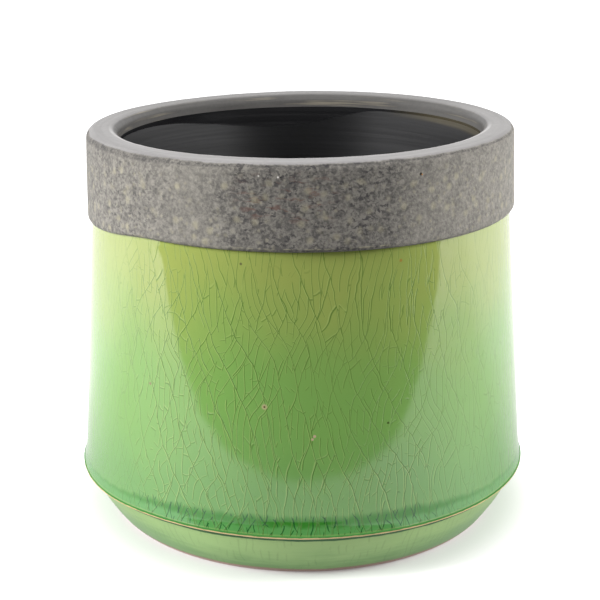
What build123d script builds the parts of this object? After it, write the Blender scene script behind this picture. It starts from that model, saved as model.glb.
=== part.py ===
from build123d import *
import os

# Cachepot turned about Z and standing on z = 0: a clay body under four fired coats, in millimetres.

# Outside, with radii measured in from the widest part
edge_diameter = 150.0  # widest, at the bare edge above the foot
height = 128.5
edge_height = 17.3  # table to the top of that edge
edge_width = 1.0  # bare clay left showing where the glaze breaks
edge_bevel = 0.25
edge_step = 0.8  # edge proud of the wall's line
foot_taper = 11.4  # edge to the foot's radius on the table
foot_inset = 1.5  # edge to the top of the foot
foot_bulge = 0.65  # rise of the convex foot above its chord

# Collar
collar_height = 25.8
collar_inset = 5.3  # edge to the collar's lower rim
collar_taper = 0.9  # loss in radius from there to the lip
collar_step = 1.4  # collar proud of the wall
collar_round = 1.5
lip_thickness = 10.7  # collar's lower rim to the mouth
lip_round = 2.6

# Inside
mouth_depth = 24.0  # straight part of the mouth
wall_thickness = 8.0  # at the widest part
floor_thickness = 8.5
corner_radius = 10.0

# Underside
ring_width = 9.6
recess_depth = 2.5
recess_draft = 1.5

# Coats
collar_coat_thickness = 0.8
wall_glaze_thickness = 0.8
foot_glaze_thickness = 0.6
liner_thickness = 0.8
lip_lap = 4.5  # collar coat carried down inside the mouth
foot_line = 1.2  # glaze wiped off the heel below this height
pool_height = 7.0  # glaze thickened above the edge

# Radii and heights that follow
edge_radius = edge_diameter / 2
edge_low = edge_height - edge_width
wall_low = edge_radius - edge_step
foot_radius = edge_radius - foot_taper
foot_neck = edge_radius - foot_inset - foot_glaze_thickness
heel_radius = foot_radius + foot_line * (foot_neck - foot_radius) / edge_low
collar_low = height - collar_height
collar_radius = edge_radius - collar_inset
lip_radius = collar_radius - collar_taper
wall_top = collar_radius - collar_step
mouth_radius = collar_radius - lip_thickness
mouth_low = height - mouth_depth
inner_low = edge_radius - wall_thickness
floor_top = recess_depth + floor_thickness
recess_radius = foot_radius - ring_width

# The clay under the coats: inside radii, tops and plain bevels below their rounded corners
clay_lip = height - collar_coat_thickness
clay_mouth = mouth_radius + liner_thickness
clay_inner = inner_low + liner_thickness
clay_floor = floor_top - liner_thickness
lip_bevel = lip_round - collar_coat_thickness
corner_bevel = corner_radius / 2
corner_wall = clay_inner - corner_bevel * (clay_inner - clay_mouth) / (mouth_low - clay_floor)

# Middles of the clay under the collar, at the edge, in the floor and in the foot ring
wall_core = (mouth_radius + wall_top) / 2
edge_core = inner_low + wall_thickness / 2
floor_core = recess_depth + floor_thickness / 2
ring_core = (recess_radius + foot_radius) / 2

# The wall's radius at the top of the pooled glaze
wall_slope = (wall_low - wall_top) / (collar_low - edge_height)
pool_top = edge_height + pool_height
pool_radius = wall_low - wall_slope * pool_height


# A closed half-section from its lines and arcs, radius along X and height along Y
def section(*pieces):
    return make_face([edge for piece in pieces for edge in piece.edges()])


# The solid that a half-section sweeps about the pot's axis
def turned(face, name):
    solid = revolve(Plane.XZ * face, axis=Axis.Z)
    solid.label = name
    return solid


# Clay body: underside, foot, bare edge, wall, collar, mouth and floor
clay_face = section(
    Polyline(
        (0, recess_depth),
        (recess_radius - recess_draft, recess_depth),
        (recess_radius, 0),
        (foot_radius, 0),
        (heel_radius, foot_line),
        (foot_neck, edge_low),
        (edge_radius - edge_bevel, edge_low),
        (edge_radius, edge_low + edge_bevel),
        (edge_radius, edge_height - edge_bevel),
        (edge_radius - edge_bevel, edge_height),
        (wall_low - wall_glaze_thickness, edge_height),
        (wall_top - wall_glaze_thickness, collar_low + collar_coat_thickness),
        (collar_radius - collar_coat_thickness, collar_low + collar_coat_thickness),
        (lip_radius - collar_coat_thickness, clay_lip - lip_bevel),
        (lip_radius - collar_coat_thickness - lip_bevel, clay_lip),
        (clay_mouth + lip_bevel, clay_lip),
        (clay_mouth, clay_lip - lip_bevel),
        (clay_mouth, mouth_low),
        (corner_wall, clay_floor + corner_bevel),
        (clay_inner - corner_bevel, clay_floor),
        (0, clay_floor),
        (0, recess_depth),
    )
)

# Collar coat: outside of the collar, over the lip and down into the mouth
collar_skin = FilletPolyline(
    (wall_core, collar_low),
    (collar_radius, collar_low),
    (lip_radius, height),
    (mouth_radius, height),
    (mouth_radius, height - lip_lap),
    (wall_core, height - lip_lap),
    radius=[collar_round, lip_round, lip_round, 0],
)
collar_face = section(collar_skin, Line((wall_core, height - lip_lap), (wall_core, collar_low))) - clay_face

# Wall glaze: thin down the wall, pooled in the corner above the edge
pool_end = (edge_radius - edge_bevel, edge_height)
wall_face = section(
    Line((wall_top, collar_low), (pool_radius, pool_top)),
    TangentArc((pool_radius, pool_top), pool_end, tangent=(wall_slope, -1)),
    Polyline(pool_end, (edge_core, edge_height), (wall_core, collar_low), (wall_top, collar_low)),
) - clay_face

# Foot glaze: convex, from the notch under the edge down to the bare heel
foot_skin = ThreePointArc(
    (heel_radius + foot_glaze_thickness, foot_line),
    ((heel_radius + foot_neck) / 2 + foot_glaze_thickness + foot_bulge, (foot_line + edge_low) / 2),
    (foot_neck + foot_glaze_thickness, edge_low),
)
foot_face = section(
    foot_skin,
    Polyline(foot_skin @ 1, (edge_core, edge_low), (ring_core, foot_line), foot_skin @ 0),
) - clay_face

# Liner glaze: mouth below the lap, inner wall and floor
liner_skin = FilletPolyline(
    (mouth_radius, height - lip_lap),
    (mouth_radius, mouth_low),
    (inner_low, floor_top),
    (0, floor_top),
    radius=[0, corner_radius],
)
liner_face = section(
    liner_skin,
    Polyline(
        (0, floor_top),
        (0, floor_core),
        (foot_radius, floor_core),
        (edge_core, edge_height),
        (wall_core, mouth_low),
        (wall_core, height - lip_lap),
        (mouth_radius, height - lip_lap),
    ),
) - clay_face

clay_body = turned(clay_face, "clay_body")
collar_coat = turned(collar_face, "collar_coat")
wall_glaze = turned(wall_face, "wall_glaze")
foot_glaze = turned(foot_face, "foot_glaze")
liner_glaze = turned(liner_face, "liner_glaze")

os.makedirs("parts", exist_ok=True)
export_step(clay_body, "parts/clay_body.step")
export_step(collar_coat, "parts/collar_coat.step")
export_step(wall_glaze, "parts/wall_glaze.step")
export_step(foot_glaze, "parts/foot_glaze.step")
export_step(liner_glaze, "parts/liner_glaze.step")
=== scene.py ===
import math
from collections import Counter

import bpy
import numpy
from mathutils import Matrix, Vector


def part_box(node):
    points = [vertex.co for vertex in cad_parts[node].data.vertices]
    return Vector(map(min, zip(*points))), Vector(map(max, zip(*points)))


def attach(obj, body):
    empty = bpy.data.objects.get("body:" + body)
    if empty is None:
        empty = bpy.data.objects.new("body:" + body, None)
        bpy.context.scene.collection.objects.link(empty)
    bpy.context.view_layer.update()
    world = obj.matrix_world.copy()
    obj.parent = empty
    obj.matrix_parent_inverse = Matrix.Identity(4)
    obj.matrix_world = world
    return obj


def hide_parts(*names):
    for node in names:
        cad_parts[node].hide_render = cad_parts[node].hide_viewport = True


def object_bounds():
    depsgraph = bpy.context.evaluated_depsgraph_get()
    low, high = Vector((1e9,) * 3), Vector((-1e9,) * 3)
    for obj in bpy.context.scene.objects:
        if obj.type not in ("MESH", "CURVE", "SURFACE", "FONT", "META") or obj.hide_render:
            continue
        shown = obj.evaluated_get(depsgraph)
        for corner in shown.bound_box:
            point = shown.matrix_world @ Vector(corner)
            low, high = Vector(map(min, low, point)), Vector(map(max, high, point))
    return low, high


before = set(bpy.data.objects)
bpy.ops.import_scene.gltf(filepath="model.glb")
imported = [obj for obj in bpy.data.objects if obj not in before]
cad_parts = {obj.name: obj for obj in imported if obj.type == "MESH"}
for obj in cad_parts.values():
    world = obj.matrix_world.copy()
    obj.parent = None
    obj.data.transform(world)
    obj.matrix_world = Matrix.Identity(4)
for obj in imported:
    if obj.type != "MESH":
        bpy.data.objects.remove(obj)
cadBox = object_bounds()
print("frame loaded:", ", ".join(sorted(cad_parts)))

# Turned sections, read from the frame

sameRing = 0.000005  # metres between points of one ring
contactGap = 0.00005  # metres between faces that touch


def halfSection(node):
    # the node's rings as (radius, height), anticlockwise round its section
    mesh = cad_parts[node].data
    points = numpy.array([vertex.co for vertex in mesh.vertices])
    rings = numpy.column_stack((numpy.hypot(points[:, 0], points[:, 1]), points[:, 2]))
    spots, spotOf = numpy.unique(numpy.round(rings, 6), axis=0, return_inverse=True)
    apart = numpy.linalg.norm(spots[:, None] - spots[None], axis=2)
    ringOf = numpy.argmax(apart < sameRing, axis=1)[spotOf.ravel()]
    links = {}
    for edge in mesh.edges:
        first, second = (int(ringOf[corner]) for corner in edge.vertices)
        if first != second:
            links.setdefault(first, Counter())[second] += 1
            links.setdefault(second, Counter())[first] += 1
    discs = [ring for ring in links if len(links[ring]) == 1]  # edges of faces that reach the axis
    ring = min(discs or links)
    order = []
    while ring is not None:
        order.append(ring)
        ring = next((near for near, count in links[ring].most_common() if near not in order), None)
    section = spots[order]
    if discs:
        section = numpy.vstack(([0, section[0, 1]], section, [0, section[-1, 1]]))
    ahead = numpy.roll(section, -1, axis=0)
    area = (section[:, 0] * ahead[:, 1] - ahead[:, 0] * section[:, 1]).sum()
    return section if area > 0 else section[::-1]


def sides(section):
    # start and end points of the section's sides, without the one along the axis
    ends = numpy.roll(section, -1, axis=0)
    if section[0, 0] == 0:
        return section[:-1], ends[:-1]
    return section, ends


def gapTo(section, point):
    starts, ends = sides(section)
    along = ends - starts
    share = ((point - starts) * along).sum(axis=1) / (along**2).sum(axis=1)
    nearest = starts + numpy.clip(share, 0, 1)[:, None] * along
    return numpy.linalg.norm(nearest - point, axis=1).min()


sections = {node: halfSection(node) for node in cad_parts}


def finerSection(node, grain):
    # open sides are cut to the grain; reach is the way along the surface from the nearest contact
    others = [section for name, section in sections.items() if name != node]
    outline = []
    contact = []
    for start, end in zip(*sides(sections[node])):
        touching = min(gapTo(other, (start + end) / 2) for other in others) < contactGap
        cuts = 1 if touching else math.ceil(numpy.linalg.norm(end - start) / grain)
        outline += [start + (end - start) * cut / cuts for cut in range(cuts)]
        contact += [touching] * cuts
    onAxis = sections[node][0, 0] == 0
    if onAxis:
        outline.append(end)
    outline = numpy.array(outline)
    lengths = numpy.linalg.norm(numpy.roll(outline, -1, axis=0) - outline, axis=1)
    reach = numpy.full(len(outline), numpy.inf)
    for index, touching in enumerate(contact):
        if touching:
            reach[[index, (index + 1) % len(outline)]] = 0
    for index in [*range(len(outline))] * 2:
        reach[index] = min(reach[index], reach[index - 1] + lengths[index - 1])
    for index in [*range(len(outline))[::-1]] * 2:
        ahead = (index + 1) % len(outline)
        reach[index] = min(reach[index], reach[ahead] + lengths[index])
    return outline, reach, onAxis


# Relief of the hand-made surfaces

latticeSize = 32
lattice = numpy.random.default_rng(11).random((latticeSize,) * 3)


def lumps(points, size):
    # smooth noise from -1 to 1, in lumps of about that size in metres
    cell = points / size
    low = numpy.floor(cell).astype(int)
    part = cell - low
    part = part * part * (3 - 2 * part)
    total = 0
    for corner in numpy.ndindex(2, 2, 2):
        weight = numpy.where(corner, part, 1 - part).prod(axis=-1)
        spot = (low + corner) % latticeSize
        total = total + weight * lattice[spot[..., 0], spot[..., 1], spot[..., 2]]
    return 2 * total - 1


def fade(distance, start, end):
    share = numpy.clip((distance - start) / (end - start), 0, 1)
    return share * share * (3 - 2 * share)


def unevenness(look, points, reach):
    # lumps by their heights and sizes, at full height when settled this far from a contact
    places = points * look.get("stretch", 1)
    lumped = sum(height * lumps(places, size) for height, size in look["lumps"])
    return fade(reach, 0, look["settled"]) * lumped


# Kiln warp: the wall leans, the lip rises to the right, and the collar's lower rim sags at the left

potHeight = cadBox[1].z - cadBox[0].z
kiln = {
    "lean": -0.006,
    "tilt": 0.013,
    "tilted": (0.7 * potHeight, potHeight),  # heights where the lip's rise starts and is full
    "sag": 0.0034,
    "sagging": (-0.043, -0.07),  # x where the sag starts and is full
    "sagged": ((0.0, 0.35 * potHeight), (potHeight, 0.83 * potHeight)),  # the same by height, from both ends
}


def warped(points):
    x, y, z = points[..., 0], points[..., 1], points[..., 2]
    sag = kiln["sag"] * fade(x, *kiln["sagging"])
    for heights in kiln["sagged"]:
        sag = sag * fade(z, *heights)
    z = z + kiln["tilt"] * x * fade(z, *kiln["tilted"]) - sag
    return numpy.stack((x + kiln["lean"] * z, y, z), axis=-1)


def faceSpot(node, turn, up):
    # the place on the node's outer face at an angle in degrees and a height
    radius = 0
    for start, end in zip(*sides(sections[node])):
        low, high = sorted((start, end), key=lambda point: point[1])
        if low[1] <= up <= high[1] and low[1] < high[1]:
            radius = max(radius, numpy.interp(up, (low[1], high[1]), (low[0], high[0])))
    turn = math.radians(turn)
    return tuple(warped(numpy.array((radius * math.cos(turn), radius * math.sin(turn), up))).tolist())


def turned(name, node, look):
    # a closed mesh of the node's section, uneven on its open sides, in the node's place;
    # the look gives its grain, the length of a face, and the angle that is still sharp
    outline, reach, onAxis = finerSection(node, look["grain"])
    around = round(2 * math.pi * outline[:, 0].max() / look["grain"])
    angle = numpy.arange(around) * 2 * math.pi / around
    run = numpy.roll(outline, -1, axis=0) - numpy.roll(outline, 1, axis=0)
    if onAxis:
        run[[0, -1]] = (outline[1] - outline[0], outline[-1] - outline[-2])
    facing = numpy.column_stack((run[:, 1], -run[:, 0])) / numpy.linalg.norm(run, axis=1)[:, None]
    radius = numpy.repeat(outline[:, :1], around, axis=1)
    height = numpy.repeat(outline[:, 1:], around, axis=1)
    points = numpy.stack((radius * numpy.cos(angle), radius * numpy.sin(angle), height), axis=-1)
    offset = unevenness(look, points, numpy.repeat(reach[:, None], around, axis=1))
    radius = radius + offset * facing[:, :1]
    height = height + offset * facing[:, 1:]
    points = warped(numpy.stack((radius * numpy.cos(angle), radius * numpy.sin(angle), height), axis=-1))

    rings = [[ring * around + step for step in range(around)] for ring in range(len(outline))]
    vertices = points.reshape(-1, 3).tolist()
    if onAxis:
        vertices = vertices[around - 1 : len(vertices) - around + 1]  # one point at each end
        rings = [[corner - around + 1 for corner in ring] for ring in rings]
        rings[0] = [0] * around
        rings[-1] = [len(vertices) - 1] * around
    pairs = list(zip(rings, rings[1:])) if onAxis else list(zip(rings, rings[1:] + rings[:1]))
    faces = []
    for below, above in pairs:
        for step in range(around):
            beside = (step + 1) % around
            corners = (below[step], below[beside], above[beside], above[step])
            faces.append(tuple(dict.fromkeys(corners)))
    mesh = bpy.data.meshes.new(name)
    mesh.from_pydata(vertices, [], faces)
    mesh.polygons.foreach_set("use_smooth", [True] * len(faces))
    mesh.set_sharp_from_angle(angle=math.radians(look["sharp"]))
    mesh.update()
    piece = bpy.data.objects.new(name, mesh)
    bpy.context.scene.collection.objects.link(piece)
    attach(piece, "root")
    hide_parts(node)
    print(name, "turned with", len(faces), "faces")
    return piece


# Shader maths


class Value:
    # a socket; its operators add Math nodes
    def __init__(self, paint, socket):
        self.paint = paint
        self.socket = socket

    def maths(self, operation, *terms):
        return self.paint.node("ShaderNodeMath", {"operation": operation}, dict(enumerate(terms)))

    def __add__(self, other):
        return self.maths("ADD", self, other)

    def __radd__(self, other):
        return self.maths("ADD", other, self)

    def __sub__(self, other):
        return self.maths("SUBTRACT", self, other)

    def __rsub__(self, other):
        return self.maths("SUBTRACT", other, self)

    def __mul__(self, other):
        return self.maths("MULTIPLY", self, other)

    def __rmul__(self, other):
        return self.maths("MULTIPLY", other, self)

    def __truediv__(self, other):
        return self.maths("DIVIDE", self, other)

    def __rtruediv__(self, other):
        return self.maths("DIVIDE", other, self)

    def __abs__(self):
        return self.maths("ABSOLUTE", self)

    def whole(self):
        return self.maths("FLOOR", self)

    def wrapped(self, count):
        # a whole number, starting again after one turn of the pot
        return self.maths("FLOORED_MODULO", self, count)

    def larger(self, other):
        return self.maths("MAXIMUM", self, other)


class Paint:
    # the nodes of a material, or of the world
    def __init__(self, owner):
        owner.use_nodes = True
        self.tree = owner.node_tree
        self.tree.nodes.clear()

    def node(self, kind, settings=None, sockets=None, out=0):
        made = self.tree.nodes.new(kind)
        for name, setting in (settings or {}).items():
            setattr(made, name, setting)
        for key, value in (sockets or {}).items():
            if isinstance(value, Value):
                self.tree.links.new(value.socket, made.inputs[key])
            else:
                made.inputs[key].default_value = value
        return Value(self, made.outputs[out]) if made.outputs else None

    def place(self):
        return self.node("ShaderNodeTexCoord", out="Object")

    def parts(self, vector):
        return [self.node("ShaderNodeSeparateXYZ", sockets={0: vector}, out=axis) for axis in range(3)]

    def upright(self):
        # the place on the pot, with x, y and z as they were before the kiln's warp
        spot = self.place()
        x, y, z = self.parts(spot)
        x = x - kiln["lean"] * z
        sag = kiln["sag"] * self.step(x, *kiln["sagging"])
        for heights in kiln["sagged"]:
            sag = sag * self.step(z, *heights)
        return spot, x, y, z - kiln["tilt"] * x * self.step(z, *kiln["tilted"]) + sag

    def stretched(self, vector, scale):
        return self.node("ShaderNodeVectorMath", {"operation": "MULTIPLY"}, {0: vector, 1: scale})

    def moved(self, vector, shift):
        return self.node("ShaderNodeVectorMath", {"operation": "ADD"}, {0: vector, 1: shift})

    def stirred(self, vector, scale, amount):
        # the place, pushed about by a noise
        push = self.moved(self.noise(vector, scale, 1.0, out="Color"), (-0.5, -0.5, -0.5))
        push = self.stretched(push, (amount, amount, amount))
        return self.moved(vector, push)

    def near(self, vector, spot, size):
        # 1 within half that distance of a spot, fading to 0
        away = self.node("ShaderNodeVectorMath", {"operation": "DISTANCE"}, {0: vector, 1: spot}, "Value")
        return self.step(away, size, 0.5 * size)

    def noise(self, vector, scale, detail=2.0, roughness=0.5, out=0):
        sockets = {"Vector": vector, "Scale": scale, "Detail": detail, "Roughness": roughness}
        return self.node("ShaderNodeTexNoise", {"noise_dimensions": "3D"}, sockets, out)

    def cells(self, vector, scale, out="Distance"):
        return self.node("ShaderNodeTexVoronoi", sockets={"Vector": vector, "Scale": scale}, out=out)

    def chance(self, *numbers):
        # a random number from 0 to 1 for each set of whole numbers
        vector = self.node("ShaderNodeCombineXYZ", sockets=dict(enumerate(numbers)))
        return self.node("ShaderNodeTexWhiteNoise", {"noise_dimensions": "3D"}, {"Vector": vector})

    def step(self, value, start, end, low=0.0, high=1.0):
        # a smooth step from low to high
        sockets = {"Value": value, "From Min": start, "From Max": end, "To Min": low, "To Max": high}
        return self.node("ShaderNodeMapRange", {"interpolation_type": "SMOOTHSTEP"}, sockets)

    def mix(self, share, first, second):
        colours = [(*colour, 1.0) if isinstance(colour, tuple) else colour for colour in (first, second)]
        settings = {"data_type": "RGBA", "clamp_factor": True}
        return self.node("ShaderNodeMix", settings, {0: share, 6: colours[0], 7: colours[1]}, 2)

    def bump(self, height, depth):
        return self.node("ShaderNodeBump", sockets={"Height": height, "Distance": depth, "Strength": 1.0})

    def surface(self, **sockets):
        named = {name.replace("_", " "): value for name, value in sockets.items()}
        shader = self.node("ShaderNodeBsdfPrincipled", sockets=named)
        self.node("ShaderNodeOutputMaterial", sockets={"Surface": shader})


def finish(piece, name, paintOn, look):
    material = bpy.data.materials.new(name)
    paintOn(Paint(material), look)
    piece.data.materials.append(material)
    print(name, "painted on", piece.name)


# Green crackle glaze on the wall

wallLook = {
    "grain": 0.001,
    "sharp": 40,
    "lumps": ((0.00012, 0.03), (0.00002, 0.008)),  # height and size of the thrown wall's waves and ripples
    "settled": 0.004,
    "top": (0.315, 0.378, 0.096),
    "middle": (0.189, 0.368, 0.089),
    "low": (0.143, 0.316, 0.093),
    "blends": ((0.0, 0.5), (0.45, 1.0)),  # shares of the height where low turns to middle, and middle to top
    "cloud": {"scale": 35.0, "strength": 0.35},  # unevenness of those
    "thin": (0.36, 0.46, 0.15),  # glaze drawn thin at the edge
    "thinHeights": (0.0006, 0.0001),
    "thinStrength": 0.25,
    "pool": (0.035, 0.2, 0.02),
    "poolFoot": (0.09, 0.29, 0.075),  # paler above the edge
    "poolFootHeights": (0.0034, 0.0018),
    "poolDepth": 0.0064,
    "poolEdge": (1.05, 0.65),  # shares of that depth where the pool starts and is full
    "poolSides": (0.065, 0.03, 0.6, 1.0),  # from x to x, the pool's share rises from and to these
    "runs": {"scale": 300.0, "stretch": (1, 1, 0.3), "length": 0.002},
    "strips": 62,  # long crackle lines round the wall
    "lean": 4.4,  # lines that each passes on its way down
    "leaning": (-0.25, 1.12),  # shares of the height where the lean starts and ends
    "crossed": (0.99, 0.87),  # upright lines alone above this share of the height
    "shuffle": 9,  # lines that a pair of strips is shifted by, at most
    "sway": ((3.0, 17.0), (1.0, 45.0)),  # size and scale of slow and quicker bends
    "apart": (0.0, 0.4),  # far enough for two unlike sets of bends
    "bowScale": 75.0,
    "wobble": {"scale": 190.0, "strength": 0.2},
    "ways": 100,  # degrees that the fine lines turn through from cell to cell
    "shift": 3,  # lines that they and their rungs are shifted by, at most
    "softBreak": 0.04,  # change in the noise from no line to a full one
    # the lesser lines: how many to a cell, their bow and spacing, and the noise that leaves some out
    "cross": {"scale": 60.0, "detail": 1.0, "least": 0.36, "strength": 0.9},
    "fine": {
        "count": 2.4,
        "bow": 1.5,
        "spacing": 0.8,
        "scale": 150.0,
        "detail": 0.0,
        "least": 0.37,
        "strength": 0.85,
    },
    "rung": {
        "count": 2.3,
        "bow": 0.8,
        "spacing": 1.3,
        "scale": 210.0,
        "detail": 0.0,
        "least": 0.45,
        "strength": 0.6,
    },
    "crackWidth": 0.00023,
    "crackEdge": (0.75, 0.2),  # shares of that width where a line starts and is full
    "crackDepth": 0.00002,
    "crackDark": (0.06, 0.15, 0.022),
    "crackPale": (0.50, 0.62, 0.21),
    "crackStrength": 0.88,
    "paleStrength": 0.38,
    "paleLost": 0.85,  # painted highlight, mostly lost in the pool
    # where crackle is painted fainter: at the left and right by x, where reflections wash it out, and
    # towards the collar by the share of the height
    "faintLeft": (-0.063, -0.041, 0.25, 1.0),
    "faintRight": (0.052, 0.03, 0.5, 1.0),
    "faintTop": (1.0, 0.8, 0.65, 1.0),
    "faintPatch": {"turn": -70, "up": 0.062, "size": 0.03, "strength": 0.35},
    # dark strokes round the pool, in each of two slants
    "ticks": {
        "count": 150,
        "slants": ((-0.4, 134.0), (0.4, 166.0)),  # and the scale of their bends
        "bend": 1.5,
        "width": (0.00026, 0.0001),
        "top": (1.0, 0.8),  # shares of the pool's depth where they start and are full
        "ragged": 0.004,
        "scale": 300.0,  # of the noise that leaves some out
        "shown": (0.47, 0.53),
        "strength": 0.85,
        "colour": (0.006, 0.075, 0.015),
    },
    # small faults: angle round the pot, height and size, then colour
    "marks": (
        {"turn": -98.7, "up": 0.0568, "size": 0.0011, "colour": (0.42, 0.40, 0.20)},
        {"turn": -98.7, "up": 0.0568, "size": 0.0004, "colour": (0.09, 0.05, 0.02)},
        {"turn": -87.0, "up": 0.0481, "size": 0.0006, "colour": (0.50, 0.38, 0.25)},
        {"turn": -87.5, "up": 0.0472, "size": 0.0005, "colour": (0.50, 0.38, 0.25)},
        {"turn": -65.0, "up": 0.0987, "size": 0.0006, "colour": (0.36, 0.22, 0.05)},
        {"turn": -129.7, "up": 0.0584, "size": 0.0006, "colour": (0.22, 0.20, 0.08)},
        {"turn": -69.2, "up": 0.0505, "size": 0.0005, "colour": (0.06, 0.10, 0.02)},
        {"turn": -104.4, "up": 0.0989, "size": 0.0005, "colour": (0.14, 0.15, 0.06)},
        {"turn": 24.0, "up": 0.0710, "size": 0.0010, "colour": (0.42, 0.40, 0.20)},
        {"turn": 128.0, "up": 0.0440, "size": 0.0006, "colour": (0.10, 0.08, 0.02)},
    ),
}


def crackLines(paint, look, spot, turn, rise):
    # the dark lines, and a painted highlight along their left
    strips, width = look["strips"], look["crackWidth"]
    apart = 2 * math.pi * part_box("wall_glaze")[1].x / strips
    lean = look["lean"] * paint.step(rise, *look["leaning"])
    wobble = look["wobble"]["strength"] * (paint.noise(spot, look["wobble"]["scale"], 1.0) - 0.5)
    places = [paint.moved(spot, (0.0, 0.0, shift)) for shift in look["apart"]]
    (slow, slowScale), (quick, quickScale) = look["sway"]
    bends = []
    for place in places:
        bends.append(slow * paint.noise(place, slowScale, 1.0) + quick * paint.noise(place, quickScale, 0.0))
    bows = [paint.noise(place, look["bowScale"], 1.0) for place in places]

    def drawn(field, spacing, strength):
        side = spacing * (field - field.maths("ROUND", field))
        edge = [share * width for share in look["crackEdge"]]
        return [strength * paint.step(abs(side + shift), *edge) for shift in (0.0, width)]

    def joined(lines, more):
        return [first.larger(second) for first, second in zip(lines, more)]

    def broken(line):
        # the strength of a lesser line, none where it is left out
        kept = paint.noise(spot, line["scale"], line["detail"])
        return line["strength"] * paint.step(kept, line["least"], line["least"] + look["softBreak"])

    # long lines that all lean one way, and lines that cross them
    long = strips * turn + lean + bends[0] + wobble
    strip = long.whole().wrapped(strips)
    pair = (0.5 * strip).whole()
    cross = strips * turn - lean + bends[1] - wobble + look["shuffle"] * paint.chance(pair, 1, 0)
    cell = cross.whole().wrapped(strips)
    lower = paint.step(rise, *look["crossed"])
    lines = drawn(long, apart, 1.0)
    lines = joined(lines, drawn(cross, apart, broken(look["cross"]) * lower))

    # fine lines that each cell turns its own way, and rungs between them
    inLong = long - long.whole()
    inCross = cross - cross.whole()
    way = paint.chance(strip, cell, 2) * math.radians(look["ways"])
    across, along = way.maths("SINE", way), way.maths("COSINE", way)
    fineLine, rungLine = look["fine"], look["rung"]
    shift = look["shift"] * paint.chance(strip, cell, 3)
    fine = fineLine["count"] * (across * inCross + along * inLong) + shift
    fine = fine + fineLine["bow"] * bows[0] + wobble
    spacing = fineLine["spacing"] * apart / fineLine["count"]
    lines = joined(lines, drawn(fine, spacing, broken(fineLine)))
    shift = look["shift"] * paint.chance(strip, cell, fine.whole())
    rung = rungLine["count"] * (along * inCross - across * inLong) + shift + rungLine["bow"] * bows[1]
    spacing = rungLine["spacing"] * apart / rungLine["count"]
    return joined(lines, drawn(rung, spacing, broken(rungLine) * lower))


def crackleGlaze(paint, look):
    spot, x, y, z = paint.upright()
    bottom, top = (corner.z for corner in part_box("wall_glaze"))
    up = z - bottom
    rise = up / (top - bottom)
    turn = y.maths("ARCTAN2", y, x) / (2 * math.pi)
    cloud = rise + look["cloud"]["strength"] * (paint.noise(spot, look["cloud"]["scale"], 3.0) - 0.5)
    lower, upper = look["blends"]
    colour = paint.mix(paint.step(cloud, *lower), look["low"], look["middle"])
    colour = paint.mix(paint.step(cloud, *upper), colour, look["top"])

    # thick glaze above the edge, drawn out in short runs and slimmer at the sides
    depth = look["poolDepth"]
    runs = paint.noise(paint.stretched(spot, look["runs"]["stretch"]), look["runs"]["scale"], 2.0) - 0.5
    ragged = up + look["runs"]["length"] * runs
    full = paint.step(abs(x), *look["poolSides"])
    pooled = paint.step(ragged / (depth * full), *look["poolEdge"]) * full
    thick = paint.mix(paint.step(ragged, *look["poolFootHeights"]), look["pool"], look["poolFoot"])
    colour = paint.mix(pooled, colour, thick)

    # crackle
    cracks, light = crackLines(paint, look, spot, turn, rise)
    # crackle painted fainter at the left and right, where reflections wash it out
    plain = paint.step(x, *look["faintLeft"]) * paint.step(x, *look["faintRight"])
    plain = plain * paint.step(rise, *look["faintTop"])
    patch = look["faintPatch"]
    here = faceSpot("wall_glaze", patch["turn"], patch["up"])
    plain = plain * (1 - patch["strength"] * paint.near(spot, here, patch["size"]))
    # painted highlight beside each crack, in the crack's own pattern
    lit = look["paleStrength"] * plain * plain * (1 - look["paleLost"] * pooled)
    colour = paint.mix(lit * light, colour, look["crackPale"])
    colour = paint.mix(look["crackStrength"] * plain * cracks, colour, look["crackDark"])

    # dark ticks in the thick glaze
    ticks = look["ticks"]
    apart = 2 * math.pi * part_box("wall_glaze")[1].x / ticks["count"]
    ends = [share * depth for share in ticks["top"]]
    for slant, scale in ticks["slants"]:
        field = ticks["count"] * turn + slant / apart * up + ticks["bend"] * paint.noise(spot, scale, 1.0)
        side = apart * (field - field.maths("ROUND", field))
        shown = paint.noise(paint.moved(spot, (slant, 0.0, 0.0)), ticks["scale"], 0.0)
        shown = paint.step(shown, *ticks["shown"]) * plain * plain
        shown = shown * paint.step(up + ticks["ragged"] * runs, *ends)
        stroke = ticks["strength"] * shown * paint.step(abs(side), *ticks["width"])
        colour = paint.mix(stroke, colour, ticks["colour"])
    colour = paint.mix(look["thinStrength"] * paint.step(up, *look["thinHeights"]), colour, look["thin"])
    for mark in look["marks"]:
        here = faceSpot("wall_glaze", mark["turn"], mark["up"])
        colour = paint.mix(paint.near(spot, here, mark["size"]), colour, mark["colour"])

    normal = paint.bump(1 - cracks, look["crackDepth"])
    paint.surface(Base_Color=colour, Roughness=0.06, IOR=1.75, Normal=normal)


wall = turned("crackleWall", "wall_glaze", wallLook)
finish(wall, "crackleGlaze", crackleGlaze, wallLook)

# Grey stone coat on the collar

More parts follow.
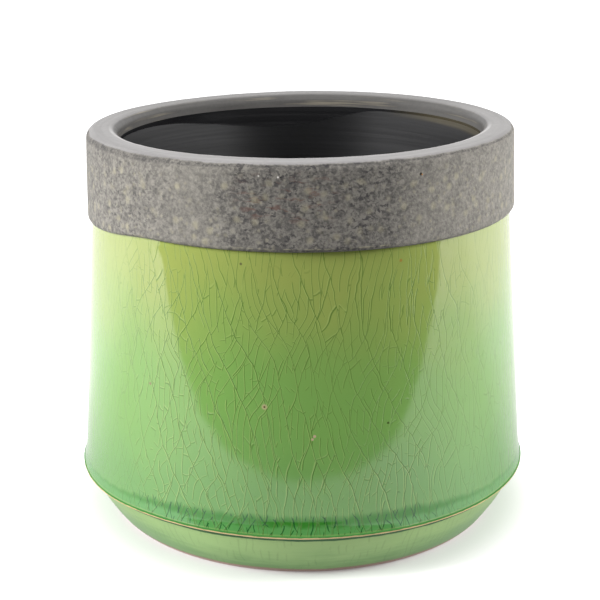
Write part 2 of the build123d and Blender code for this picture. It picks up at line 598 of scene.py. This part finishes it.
collarLook = {
    "grain": 0.0008,
    "sharp": 50,
    "lumps": ((0.0002, 0.02), (0.00004, 0.0022)),  # height and size of waves and grit
    "settled": 0.003,
    "pale": (0.315, 0.297, 0.262),
    "dull": (0.148, 0.14, 0.128),
    "charcoal": (0.045, 0.043, 0.047),
    "cream": (0.42, 0.388, 0.275),
    "loose": (900.0, 0.0009),  # scale and size of the stir under the fine mottle
    "calm": (500.0, 0.0006),
    "mottle": ((1100.0, 1.5), (650.0, 1.0)),  # scales and strengths
    "blotch": (300.0, 0.8),
    "contrast": (1.1, 1.9),  # of the mottle, and more of it in the smoke and painted shade
    # smoke on the stone, with painted shade at the front of the collar: angle and height, then size and
    # strength
    "smoke": (
        {"turn": -87, "up": 0.116, "size": 0.036, "strength": 0.72},
        {"turn": -165, "up": 0.115, "size": 0.06, "strength": 0.4},
    ),
    "specks": {"scale": 850.0, "stretch": (0.75, 0.75, 1.2), "edge": (0.48, 0.38)},
    "speckPatches": {"scale": 230.0, "share": (0.35, 0.6, 0.3, 1.0)},
    # streaks round a spot, with how far along and up they reach
    "rust": {
        "turn": -93,
        "up": 0.1185,
        "along": 0.018,
        "rise": (0.009, 0.004),
        "scale": 420.0,
        "stretch": (0.45, 0.45, 1.6),
        "edge": (0.53, 0.66),
        "strength": 0.55,
        "colour": (0.15, 0.075, 0.06),
    },
    # round cream grains of two sizes: the largest is a share of a cell, and few or many of them show
    "grains": (
        {"scale": 235.0, "largest": 0.38, "shown": (-0.6, 0.3), "strength": 0.5},
        {"scale": 430.0, "largest": 0.36, "shown": (-0.1, 0.8), "strength": 0.35},
    ),
    "grainDepths": (0.002, 0.007),  # below the lip, where they start and are full
    "ragged": ((160.0, 0.0006), (1500.0, 0.0003)),  # scales and sizes of the lip's and the rim's unevenness
    "rim": (0.12, 0.108, 0.13),  # thin line along the lower edge
    "rimHeights": (0.0006, 0.0002),
    # pale scratch above that line, round a spot
    "scratch": {
        "turn": -84,
        "up": 0.1038,
        "size": 0.032,
        "above": 0.00125,
        "width": (0.00025, 0.0001),
        "scale": 500.0,
        "shown": (0.42, 0.6),
        "strength": 0.6,
    },
    "lip": (0.345, 0.334, 0.333),
    "lipDepth": 0.0007,  # the smoother lip ends this far down
    "lipStreaks": {"scale": 600.0, "along": 0.05},
    "lipDim": ((0.0, 0.05, 0.0, 0.5), (0.04, 0.065, 0.0, 0.12)),  # painted shade, by y at the back and x at the sides
    "edge": (0.6, 0.59, 0.58),  # painted highlight along the lip's inner edge
    "edgeIn": 0.0021,  # from the mouth
    "edgeWidth": (0.0008, 0.0003),
    "edgeFront": (0.0, -0.02),  # y where it starts and is full
    "wornWidth": (-0.01, -0.05, 0.0004, 0.0011),  # dark line under the lip, broader round the left
    "wornFrom": (0.003, 0.002),  # in from the outside
    "wornBreaks": {"scale": 1100.0, "edge": (0.42, 0.56)},
    "lap": (0.115, 0.112, 0.109),  # the coat inside the mouth
    "lapStreak": (0.26, 0.235, 0.185),
    "lapIn": (0.0017, 0.0009),  # from the mouth
    # chips and pits, and painted glints: the two pale spots at -99.7 and -95.1 degrees are painted glints
    "chips": (
        {"turn": -99.7, "up": 0.1249, "size": 0.0003, "colour": (0.60, 0.58, 0.54)},
        {"turn": -95.1, "up": 0.1246, "size": 0.00036, "colour": (0.70, 0.68, 0.64)},
        {"turn": -94.5, "up": 0.1245, "size": 0.00036, "colour": (0.03, 0.03, 0.03)},
        {"turn": -60.0, "up": 0.1232, "size": 0.0006, "colour": (0.03, 0.025, 0.02)},
        {"turn": -59.6, "up": 0.1230, "size": 0.0003, "colour": (0.55, 0.27, 0.07)},
        {"turn": 70.0, "up": 0.1150, "size": 0.0005, "colour": (0.60, 0.57, 0.51)},
        {"turn": 150.0, "up": 0.1190, "size": 0.0005, "colour": (0.03, 0.03, 0.03)},
    ),
    "bump": 0.00008,
}


def stoneGrain(paint, look, spot, z, below):
    # the collar's colour, the height of its mottle, and what is left of its worn line
    loose = paint.stirred(spot, *look["loose"])
    calm = paint.stirred(spot, *look["calm"])
    # smoke on the stone, with painted shade at the front of the collar
    smoke = 0.0
    for darkSpot in look["smoke"]:
        here = faceSpot("collar_coat", darkSpot["turn"], darkSpot["up"])
        smoke = (darkSpot["strength"] * paint.near(spot, here, darkSpot["size"])).larger(smoke)

    # finely mottled grey
    scale, strength = look["blotch"]
    mottle = strength * (paint.noise(calm, scale, 2.0, 0.6) - 0.5)
    for scale, strength in look["mottle"]:
        mottle = mottle + strength * (paint.noise(loose, scale, 2.0, 0.6) - 0.5)
    contrast, more = look["contrast"]
    colour = paint.mix(0.5 + (contrast + more * smoke) * mottle, look["dull"], look["pale"])
    colour = paint.mix(0.4 * smoke, colour, look["charcoal"])

    # dark specks in patches, deepest in the smoke and painted shade
    specks, patches = look["specks"], look["speckPatches"]
    dark = paint.noise(paint.stretched(loose, specks["stretch"]), specks["scale"], 2.0, 0.6)
    dark = paint.step(dark, *specks["edge"])
    dark = dark * paint.step(paint.noise(calm, patches["scale"], 1.0), *patches["share"])
    colour = paint.mix((0.2 + 0.8 * smoke) * dark, colour, look["charcoal"])

    # rust streaks
    rust = look["rust"]
    streak = paint.noise(paint.stretched(loose, rust["stretch"]), rust["scale"], 2.0, 0.6)
    here = faceSpot("collar_coat", rust["turn"], rust["up"])
    streak = paint.step(streak, *rust["edge"]) * paint.near(spot, here, rust["along"])
    streak = streak * paint.step(abs(z - rust["up"]), *rust["rise"])
    colour = paint.mix(rust["strength"] * streak, colour, rust["colour"])

    # cream grains
    for grain in look["grains"]:
        scale, largest = grain["scale"], grain["largest"]
        chance = paint.parts(paint.cells(calm, scale, "Color"))[0]
        grains = paint.step(paint.cells(calm, scale), largest, 0.2 * largest)
        grains = grains * paint.step(chance, *grain["shown"]) * paint.step(below, *look["grainDepths"])
        colour = paint.mix((1 - 0.2 * smoke) * grain["strength"] * grains, colour, look["cream"])
    breaks = look["wornBreaks"]
    return colour, mottle, paint.step(paint.noise(loose, breaks["scale"], 2.0), *breaks["edge"])


def stoneCoat(paint, look):
    spot, x, y, z = paint.upright()
    bottom, top = (corner.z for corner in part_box("collar_coat"))
    mouth, outside = (extreme(sections["collar_coat"][:, 0]) for extreme in (min, max))
    below = top - z
    fromAxis = x.maths("SQRT", x * x + y * y)
    (slowScale, slow), (fineScale, quick) = look["ragged"]
    fine = paint.noise(spot, fineScale, 2.0, 0.6) - 0.5
    uneven = slow * (paint.noise(spot, slowScale, 2.0) - 0.5) + quick * fine
    colour, mottle, broken = stoneGrain(paint, look, spot, z, below)

    # lower edge: a dark line with a pale scratch above it
    up = z - bottom + uneven
    scratch = look["scratch"]
    line = paint.near(spot, faceSpot("collar_coat", scratch["turn"], scratch["up"]), scratch["size"])
    line = line * paint.step(paint.noise(spot, scratch["scale"], 2.0), *scratch["shown"])
    line = line * paint.step(abs(up - scratch["above"]), *scratch["width"])
    colour = paint.mix(scratch["strength"] * line, colour, look["cream"])
    colour = paint.mix(0.65 * paint.step(up, *look["rimHeights"]), colour, look["rim"])

    # smooth lip, streaked round the mouth, with painted shade at the back and sides and a painted highlight
    # along its inner edge at the front
    along = look["lipStreaks"]["along"]
    around = paint.node("ShaderNodeCombineXYZ", sockets={0: fromAxis + z, 1: along * x, 2: along * y})
    drawn = paint.noise(around, look["lipStreaks"]["scale"], 2.0)
    lip = paint.step(below + uneven, look["lipDepth"], 0.5 * look["lipDepth"])
    shade = tuple(0.8 * part for part in look["lip"])
    smoothed = paint.mix(paint.step(drawn, 0.3, 0.7), shade, look["lip"])
    # painted shade on the lip at the back and sides
    back, sideways = look["lipDim"]
    paintedShade = paint.step(y, *back).larger(paint.step(abs(x), *sideways))
    smoothed = paint.mix(paintedShade + 0.3 * fine, smoothed, look["lap"])
    # painted highlight along the lip's inner edge, at the front only
    bright = paint.step(abs(fromAxis - mouth - look["edgeIn"]), *look["edgeWidth"])
    bright = bright * paint.step(y, *look["edgeFront"])
    smoothed = paint.mix(0.7 * bright, smoothed, look["edge"])
    colour = paint.mix(0.85 * lip, colour, smoothed)

    # dark worn line under the lip
    wide = paint.step(x, *look["wornWidth"])
    worn = paint.step(abs(below + 2 * uneven - look["lipDepth"] - 0.6 * wide), wide, 0.3 * wide)
    worn = 0.65 * worn * broken * paint.step(fromAxis, *(outside - inset for inset in look["wornFrom"]))
    colour = paint.mix(worn, colour, look["charcoal"])

    # the lap inside the mouth
    lap = paint.step(fromAxis, *(mouth + inset for inset in look["lapIn"]))
    shade = tuple(0.75 * part for part in look["lap"])
    inside = paint.mix(paint.step(drawn, 0.35, 0.7), look["lap"], shade)
    inside = paint.mix(paint.step(drawn, 0.58, 0.75), inside, look["lapStreak"])
    colour = paint.mix(0.9 * lap, colour, inside)
    # chips and pits, with painted glints near the front of the lip
    for chipAndGlint in look["chips"]:
        here = faceSpot("collar_coat", chipAndGlint["turn"], chipAndGlint["up"])
        colour = paint.mix(paint.near(spot, here, chipAndGlint["size"]), colour, chipAndGlint["colour"])

    smooth = lip.larger(lap)
    normal = paint.bump((1 - smooth) * (mottle + fine), look["bump"])
    paint.surface(Base_Color=colour, Roughness=0.6 - 0.2 * smooth, IOR=1.33, Normal=normal)


collar = turned("stoneCollar", "collar_coat", collarLook)
finish(collar, "stoneCoat", stoneCoat, collarLook)

# Pale glaze on the foot

footLook = {
    "grain": 0.001,
    "sharp": 40,
    "lumps": ((0.0001, 0.012),),
    "settled": 0.003,
    "high": (0.33, 0.50, 0.19),
    "low": (0.2, 0.39, 0.14),
    "blend": (0.1, 0.9),  # shares of the height where low turns to high
    "front": (0.45, 0.66, 0.27),  # painted lighter at the front, where the foot stands in the pot's own shade
    "frontStrength": 0.6,
    "frontPlace": (-0.045, -0.066),  # y where it starts and is full
    "frontRise": (-0.3, 0.6),  # and shares of the height
    "blotch": {"scale": 120.0, "strength": 0.4},
    "brush": {"scale": 900.0, "stretch": (0.1, 0.1, 1.0), "strength": 0.8},
    # faint upright crackle, with the noises that bend it and leave some out
    "lines": {
        "count": 190,
        "bend": 1.5,
        "bendScale": 130.0,
        "width": (0.14, 0.05),
        "scale": 180.0,
        "shown": (0.45, 0.6),
        "strength": 0.14,
    },
    "notch": (0.012, 0.10, 0.035),  # painted shade in the notch under the edge
    "notchDepth": 0.0018,
    "wiped": (0.40, 0.24, 0.19),  # where the glaze is wiped thin above the heel
    "wipedHeights": (0.0006, 0.0002),
    "ragged": 0.0008,  # unevenness of the notch's and the wiped part's ends
    "bump": 0.00004,
}


def paleGlaze(paint, look):
    spot, x, y, z = paint.upright()
    bottom, top = (corner.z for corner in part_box("foot_glaze"))
    blotch = paint.noise(spot, look["blotch"]["scale"], 3.0) - 0.5
    brushed = paint.noise(paint.stretched(spot, look["brush"]["stretch"]), look["brush"]["scale"], 3.0) - 0.5
    rise = (z - bottom) / (top - bottom)
    rise = rise + look["blotch"]["strength"] * blotch + look["brush"]["strength"] * brushed
    colour = paint.mix(paint.step(rise, *look["blend"]), look["low"], look["high"])
    # painted light: the foot lighter at the front, where it stands in shade
    front = look["frontStrength"] * paint.step(y, *look["frontPlace"]) * paint.step(rise, *look["frontRise"])
    colour = paint.mix(front, colour, look["front"])

    lines = look["lines"]
    turn = y.maths("ARCTAN2", y, x) / (2 * math.pi)
    field = lines["count"] * turn + lines["bend"] * paint.noise(spot, lines["bendScale"], 1.0)
    drawn = paint.step(abs(field - field.maths("ROUND", field)), *lines["width"])
    drawn = drawn * paint.step(paint.noise(spot, lines["scale"], 1.0), *lines["shown"])
    colour = paint.mix(lines["strength"] * drawn, colour, look["notch"])

    ragged = look["ragged"] * blotch
    # painted shade in the notch under the edge
    notch = paint.step(top - z + ragged, look["notchDepth"], 0.8 * look["notchDepth"])
    colour = paint.mix(0.9 * notch, colour, look["notch"])
    wiped = paint.step(z - bottom + ragged, *look["wipedHeights"])
    colour = paint.mix(0.8 * wiped, colour, look["wiped"])
    normal = paint.bump(blotch + brushed, look["bump"])
    paint.surface(Base_Color=colour, Roughness=0.3, IOR=1.38, Normal=normal)


foot = turned("paleFoot", "foot_glaze", footLook)
finish(foot, "paleGlaze", paleGlaze, footLook)

# Dark glaze inside

linerLook = {
    "grain": 0.0013,
    "sharp": 40,
    "lumps": ((0.00003, 0.0025),),  # ridges left by throwing
    "stretch": (0.05, 0.05, 1.0),
    "settled": 0.003,
    "black": (0.007, 0.007, 0.008),
    "tan": (0.075, 0.064, 0.04),  # tan under the lap, at the right
    "tanPlace": (0.028, 0.05),  # x where it starts and is full
    "tanDepths": (0.0034, 0.0014),
    "tanRagged": 0.004,
    "streaks": {"scale": 420.0, "stretch": (0.03, 0.03, 1.0)},
    "band": (0.001, 0.008),  # least and greatest depth of the smooth glaze under the lap
    "bandLeft": (-0.062, -0.01),  # x where its depth grows at either end
    "bandRight": (0.03, -0.005),
    "bump": 0.0002,
}


def darkGlaze(paint, look):
    spot, x, _, z = paint.upright()
    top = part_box("liner_glaze")[1].z
    streak = paint.noise(paint.stretched(spot, look["streaks"]["stretch"]), look["streaks"]["scale"], 3.0)
    under = top - z + look["tanRagged"] * (streak - 0.5)
    # tan under the lap, at the right
    thin = paint.step(x, *look["tanPlace"]) * paint.step(under, *look["tanDepths"])
    colour = paint.mix(thin, look["black"], look["tan"])
    least, most = look["band"]
    depth = least + (most - least) * paint.step(x, *look["bandLeft"]) * paint.step(x, *look["bandRight"])
    band = paint.step(top - z, depth, 0.7 * depth)
    normal = paint.bump(streak, look["bump"])
    paint.surface(
        Base_Color=colour,
        Roughness=0.34 + 0.16 * streak - 0.32 * band,
        IOR=2.6,
        Anisotropic=0.9,
        Anisotropic_Rotation=0.25,
        Normal=normal,
    )


liner = turned("darkLiner", "liner_glaze", linerLook)
finish(liner, "darkGlaze", darkGlaze, linerLook)

# Bare clay of the edge, the heel and the underside

clayLook = {
    "grain": 0.0012,
    "sharp": 40,
    "lumps": ((0.00006, 0.003),),
    "settled": 0.001,
    "cream": (0.72, 0.59, 0.33),
    "orange": (0.60, 0.38, 0.18),
    "blotch": {"scale": 350.0, "edge": (0.55, 0.8)},  # orange in the cream
    "ragged": 0.0005,
    "glaze": (0.05, 0.2, 0.04),  # carried over the top of the edge
    "glazed": 0.0006,
    "heel": (0.60, 0.43, 0.38),
    "heelHeight": 0.004,
    "bump": 0.0001,
}


def bareClay(paint, look):
    spot, _, _, z = paint.upright()
    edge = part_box("wall_glaze")[0].z
    blotch = paint.noise(spot, look["blotch"]["scale"], 4.0, 0.6)
    below = edge - z + look["ragged"] * (blotch - 0.5)
    glazed = look["glazed"]
    colour = paint.mix(paint.step(blotch, *look["blotch"]["edge"]), look["cream"], look["orange"])
    colour = paint.mix(0.6 * paint.step(below, 1.6 * glazed, glazed), colour, look["orange"])
    colour = paint.mix(paint.step(below, glazed, 0.6 * glazed), colour, look["glaze"])
    heel = paint.step(z, look["heelHeight"], 0.5 * look["heelHeight"])
    colour = paint.mix(heel, colour, look["heel"])
    normal = paint.bump(blotch, look["bump"])
    paint.surface(Base_Color=colour, Roughness=0.7, IOR=1.45, Normal=normal)


clay = turned("clayPot", "clay_body", clayLook)
finish(clay, "bareClay", bareClay, clayLook)

# Stage: white floor, soft lamps at both sides and a bright back

stageLook = {
    "black": (0.0, 0.0, 0.0),
    "white": (1.0, 1.0, 1.0),
    "floorSize": 6.0,
    "floorTop": -0.0001,  # just clear of the rough foot ring
    "floorColour": (0.74, 0.74, 0.74),
    "floorGlow": (0.066, 0.095, 0.1, 0.93),  # its own white, rising with the way from the axis
    "sheetColour": (0.55, 0.55, 0.55),  # the sheet as the pot sees it
    "sheetGlow": 0.1,
    "sheetFront": (-0.2, -0.18),  # the white sheet ends between these in front of the pot
    "bounce": 0.28,  # light that the sheet throws up beside the pot
    "frontShade": (0.02, 0.16, 0.66, 1.0),  # the sheet straight in front, in the pot's own shade
    "behind": (-0.08, 0.12),  # y where the bright back starts on the floor and is full
    "frontGlow": 0.03,
    "backGlow": 0.78,
    "turning": (0.0, 0.6),  # how far round from the front one turns to the other
    "softGlow": (-0.1, 0.7, 0.2, 0.35),  # from front to back, what of them lights the pot
    # soft boxes, all round but for the front: the heights where they start and end, and the depth
    "boxes": {"glow": 1.0, "low": (0.05, 0.2), "high": (0.85, 0.65), "front": (-0.8, -0.55)},
}
lamps = {
    "leftLamp": {"azimuth": -66, "elevation": 30, "distance": 1.0, "size": (0.3, 0.5), "power": 14.4},
    "rightLamp": {"azimuth": 82, "elevation": 30, "distance": 1.0, "size": (0.3, 0.5), "power": 10.9},
}


def whiteFloor(paint, look):
    camera = paint.node("ShaderNodeLightPath", out="Is Camera Ray")
    glossy = paint.node("ShaderNodeLightPath", out="Is Glossy Ray")
    x, y, _ = paint.parts(paint.place())
    sheet = paint.step(y, *look["sheetFront"])
    beside = paint.step(abs(x), *look["frontShade"])
    back = paint.step(y, *look["behind"], 0.0, look["backGlow"])
    mirrored = (look["sheetGlow"] * beside).larger(back)
    away = x.maths("SQRT", x * x + y * y)
    white = camera * paint.step(away, *look["floorGlow"])
    bounced = (1 - camera) * look["bounce"] * beside
    glow = white.larger(sheet * bounced.larger(glossy * mirrored))
    light = paint.mix(glow, look["black"], look["white"])
    shine = paint.node("ShaderNodeEmission", sockets={"Color": light})
    colour = paint.mix(sheet * beside, look["black"], look["sheetColour"])
    colour = paint.mix(camera, colour, look["floorColour"])
    matte = paint.node("ShaderNodeBsdfDiffuse", sockets={"Color": colour})
    both = paint.node("ShaderNodeAddShader", sockets={0: shine, 1: matte})
    below = paint.node("ShaderNodeNewGeometry", out="Backfacing")
    clear = paint.node("ShaderNodeBsdfTransparent")
    seen = paint.node("ShaderNodeMixShader", sockets={0: below, 1: both, 2: clear})
    paint.node("ShaderNodeOutputMaterial", sockets={"Surface": seen})


def studioWorld(paint, look):
    camera = paint.node("ShaderNodeLightPath", out="Is Camera Ray")
    glossy = paint.node("ShaderNodeLightPath", out="Is Glossy Ray")
    _, y, z = paint.parts(paint.node("ShaderNodeTexCoord", out="Generated"))
    boxes = look["boxes"]
    lit = paint.step(z, *boxes["low"]) * paint.step(z, *boxes["high"]) * paint.step(y, *boxes["front"])
    shown = paint.step(y, *look["turning"], look["frontGlow"], look["backGlow"]).larger(boxes["glow"] * lit)
    soft = paint.step(y, *look["softGlow"])
    seen = camera.larger((1 - glossy) * soft + glossy * shown)
    light = paint.mix(seen, look["black"], look["white"])
    sky = paint.node("ShaderNodeBackground", sockets={"Color": light})
    paint.node("ShaderNodeOutputWorld", sockets={"Surface": sky})


def makeFloor():
    half = stageLook["floorSize"] / 2
    corners = [(-half, -half), (half, -half), (half, half), (-half, half)]
    mesh = bpy.data.meshes.new("floor")
    mesh.from_pydata([(*corner, stageLook["floorTop"]) for corner in corners], [], [(0, 1, 2, 3)])
    floor = bpy.data.objects.new("floor", mesh)
    bpy.context.scene.collection.objects.link(floor)
    finish(floor, "whiteFloor", whiteFloor, stageLook)


def makeLamp(name, lamp):
    middle = potHeight / 2
    azimuth = math.radians(lamp["azimuth"])
    elevation = math.radians(lamp["elevation"])
    away = lamp["distance"] * math.cos(elevation)
    light = bpy.data.lights.new(name, "AREA")
    light.shape = "RECTANGLE"
    light.size, light.size_y = lamp["size"]
    light.energy = lamp["power"]
    holder = bpy.data.objects.new(name, light)
    rise = middle + lamp["distance"] * math.sin(elevation)
    holder.location = (away * math.sin(azimuth), -away * math.cos(azimuth), rise)
    holder.rotation_euler = (math.pi / 2 - elevation, 0, azimuth)
    holder.visible_glossy = False  # the world shows the soft boxes
    bpy.context.scene.collection.objects.link(holder)


makeFloor()
for name, lamp in lamps.items():
    makeLamp(name, lamp)
world = bpy.data.worlds.new("studio")
bpy.context.scene.world = world
studioWorld(Paint(world), stageLook)
bpy.context.scene.view_settings.view_transform = "Standard"
print("stage lit")

# Camera at the photograph's angle

viewpoint = {"place": (0.0, -0.4548, 0.2057), "down": 0.294, "lens": 84.6, "sensor": 36.0, "shift": -0.0044}

cameraData = bpy.data.cameras.new("camera")
cameraData.lens = viewpoint["lens"]
cameraData.sensor_width = viewpoint["sensor"]
cameraData.shift_x = viewpoint["shift"]
camera = bpy.data.objects.new("camera", cameraData)
camera.location = viewpoint["place"]
camera.rotation_euler = (math.pi / 2 - viewpoint["down"], 0, 0)
bpy.context.scene.collection.objects.link(camera)
bpy.context.scene.camera = camera
